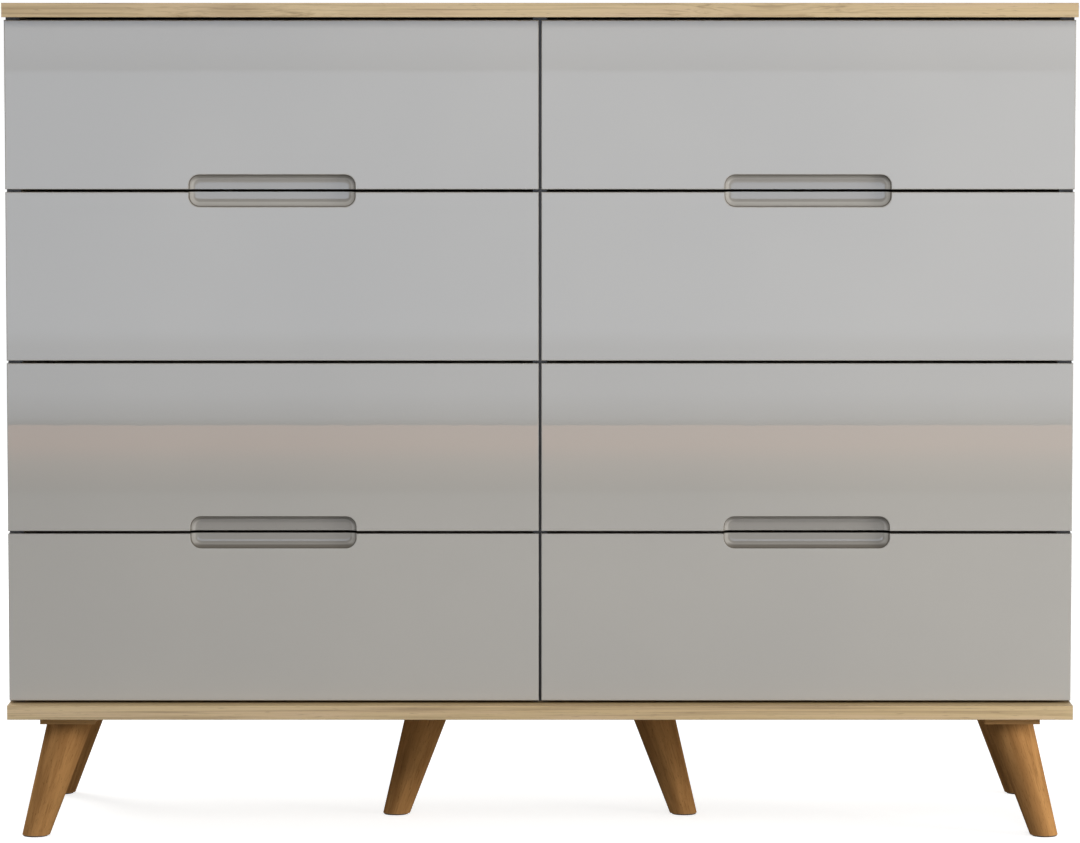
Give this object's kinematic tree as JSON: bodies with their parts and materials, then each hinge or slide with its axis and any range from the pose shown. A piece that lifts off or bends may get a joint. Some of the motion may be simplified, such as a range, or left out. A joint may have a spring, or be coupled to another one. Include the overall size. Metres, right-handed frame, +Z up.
{
  "type": "dresser with drawers",
  "caption": "Wide chest of drawers in two columns, with shared milled grip recesses instead of handles, on splayed tapered wooden legs.",
  "frame": {"origin": "on the floor under the middle of the dresser", "axes": "+X to the right as seen from the front, +Y to the back, +Z up; the drawers open towards -Y"},
  "size_m": [1.2, 0.4, 0.945],
  "materials": {
    "front_lacquer": "high-gloss light grey lacquer on fibreboard",
    "oak_board": "matt oak decor with fine horizontal grain and small knots",
    "back_board": "thin hardboard, satin",
    "box_board": "foil-wrapped chipboard, satin light grey",
    "base_board": "thin hardboard with a satin white face",
    "leg_beech": "turned beech, brown stain, satin lacquer",
    "leg_plate_wood": "beech block, brown stain",
    "beech_dowel": "raw beech",
    "zinc_steel": "bright zinc-plated steel",
    "zinc_casting": "zinc casting, satin",
    "glide_plastic": "dark brown plastic, matt"
  },
  "bodies": {
    "carcass": {"top_panel": "oak_board", "bottom_panel": "oak_board", "left_side_panel": "oak_board", "right_side_panel": "oak_board", "centre_divider": "oak_board", "back_panel_left": "back_board", "back_panel_right": "back_board", "leg_plates": "leg_plate_wood", "leg_plate_screws": "zinc_steel", "leg_glides": "glide_plastic", "cabinet_rails": "zinc_steel", "cam_locks": "zinc_casting", "cam_bolts": "zinc_steel", "dowels": "beech_dowel", "leg_front_left": "leg_beech", "leg_front_right": "leg_beech", "leg_back_left": "leg_beech", "leg_back_right": "leg_beech", "leg_middle_left": "leg_beech", "leg_middle_right": "leg_beech"},
    "drawer_left_bottom": {"drawer_left_bottom_front": "front_lacquer", "drawer_left_bottom_box": "box_board", "drawer_left_bottom_base": "base_board", "drawer_left_bottom_rails": "zinc_steel"},
    "middle_rails_left_bottom_pair": {"middle_rails_left_bottom": "zinc_steel"},
    "drawer_left_lower": {"drawer_left_lower_front": "front_lacquer", "drawer_left_lower_box": "box_board", "drawer_left_lower_base": "base_board", "drawer_left_lower_rails": "zinc_steel"},
    "middle_rails_left_lower_pair": {"middle_rails_left_lower": "zinc_steel"},
    "drawer_left_upper": {"drawer_left_upper_front": "front_lacquer", "drawer_left_upper_box": "box_board", "drawer_left_upper_base": "base_board", "drawer_left_upper_rails": "zinc_steel"},
    "middle_rails_left_upper_pair": {"middle_rails_left_upper": "zinc_steel"},
    "drawer_left_top": {"drawer_left_top_front": "front_lacquer", "drawer_left_top_box": "box_board", "drawer_left_top_base": "base_board", "drawer_left_top_rails": "zinc_steel"},
    "middle_rails_left_top_pair": {"middle_rails_left_top": "zinc_steel"},
    "drawer_right_bottom": {"drawer_right_bottom_front": "front_lacquer", "drawer_right_bottom_box": "box_board", "drawer_right_bottom_base": "base_board", "drawer_right_bottom_rails": "zinc_steel"},
    "middle_rails_right_bottom_pair": {"middle_rails_right_bottom": "zinc_steel"},
    "drawer_right_lower": {"drawer_right_lower_front": "front_lacquer", "drawer_right_lower_box": "box_board", "drawer_right_lower_base": "base_board", "drawer_right_lower_rails": "zinc_steel"},
    "middle_rails_right_lower_pair": {"middle_rails_right_lower": "zinc_steel"},
    "drawer_right_upper": {"drawer_right_upper_front": "front_lacquer", "drawer_right_upper_box": "box_board", "drawer_right_upper_base": "base_board", "drawer_right_upper_rails": "zinc_steel"},
    "middle_rails_right_upper_pair": {"middle_rails_right_upper": "zinc_steel"},
    "drawer_right_top": {"drawer_right_top_front": "front_lacquer", "drawer_right_top_box": "box_board", "drawer_right_top_base": "base_board", "drawer_right_top_rails": "zinc_steel"},
    "middle_rails_right_top_pair": {"middle_rails_right_top": "zinc_steel"}
  },
  "joints": [
    {"name": "drawer_left_bottom_slide", "type": "slide", "parent": "carcass", "child": "drawer_left_bottom", "axis": [0, -1, 0], "range_m": [0, 0.3]},
    {"name": "middle_rails_left_bottom_slide", "type": "slide", "parent": "carcass", "child": "middle_rails_left_bottom_pair", "axis": [0, -1, 0], "range_m": [0, 0.15]},
    {"name": "drawer_left_lower_slide", "type": "slide", "parent": "carcass", "child": "drawer_left_lower", "axis": [0, -1, 0], "range_m": [0, 0.3]},
    {"name": "middle_rails_left_lower_slide", "type": "slide", "parent": "carcass", "child": "middle_rails_left_lower_pair", "axis": [0, -1, 0], "range_m": [0, 0.15]},
    {"name": "drawer_left_upper_slide", "type": "slide", "parent": "carcass", "child": "drawer_left_upper", "axis": [0, -1, 0], "range_m": [0, 0.3]},
    {"name": "middle_rails_left_upper_slide", "type": "slide", "parent": "carcass", "child": "middle_rails_left_upper_pair", "axis": [0, -1, 0], "range_m": [0, 0.15]},
    {"name": "drawer_left_top_slide", "type": "slide", "parent": "carcass", "child": "drawer_left_top", "axis": [0, -1, 0], "range_m": [0, 0.3]},
    {"name": "middle_rails_left_top_slide", "type": "slide", "parent": "carcass", "child": "middle_rails_left_top_pair", "axis": [0, -1, 0], "range_m": [0, 0.15]},
    {"name": "drawer_right_bottom_slide", "type": "slide", "parent": "carcass", "child": "drawer_right_bottom", "axis": [0, -1, 0], "range_m": [0, 0.3]},
    {"name": "middle_rails_right_bottom_slide", "type": "slide", "parent": "carcass", "child": "middle_rails_right_bottom_pair", "axis": [0, -1, 0], "range_m": [0, 0.15]},
    {"name": "drawer_right_lower_slide", "type": "slide", "parent": "carcass", "child": "drawer_right_lower", "axis": [0, -1, 0], "range_m": [0, 0.3]},
    {"name": "middle_rails_right_lower_slide", "type": "slide", "parent": "carcass", "child": "middle_rails_right_lower_pair", "axis": [0, -1, 0], "range_m": [0, 0.15]},
    {"name": "drawer_right_upper_slide", "type": "slide", "parent": "carcass", "child": "drawer_right_upper", "axis": [0, -1, 0], "range_m": [0, 0.3]},
    {"name": "middle_rails_right_upper_slide", "type": "slide", "parent": "carcass", "child": "middle_rails_right_upper_pair", "axis": [0, -1, 0], "range_m": [0, 0.15]},
    {"name": "drawer_right_top_slide", "type": "slide", "parent": "carcass", "child": "drawer_right_top", "axis": [0, -1, 0], "range_m": [0, 0.3]},
    {"name": "middle_rails_right_top_slide", "type": "slide", "parent": "carcass", "child": "middle_rails_right_top_pair", "axis": [0, -1, 0], "range_m": [0, 0.15]}
  ],
  "couplings": [
    {"joint": "middle_rails_left_bottom_slide", "follows": "drawer_left_bottom_slide", "ratio": 0.5},
    {"joint": "middle_rails_left_lower_slide", "follows": "drawer_left_lower_slide", "ratio": 0.5},
    {"joint": "middle_rails_left_upper_slide", "follows": "drawer_left_upper_slide", "ratio": 0.5},
    {"joint": "middle_rails_left_top_slide", "follows": "drawer_left_top_slide", "ratio": 0.5},
    {"joint": "middle_rails_right_bottom_slide", "follows": "drawer_right_bottom_slide", "ratio": 0.5},
    {"joint": "middle_rails_right_lower_slide", "follows": "drawer_right_lower_slide", "ratio": 0.5},
    {"joint": "middle_rails_right_upper_slide", "follows": "drawer_right_upper_slide", "ratio": 0.5},
    {"joint": "middle_rails_right_top_slide", "follows": "drawer_right_top_slide", "ratio": 0.5}
  ]
}
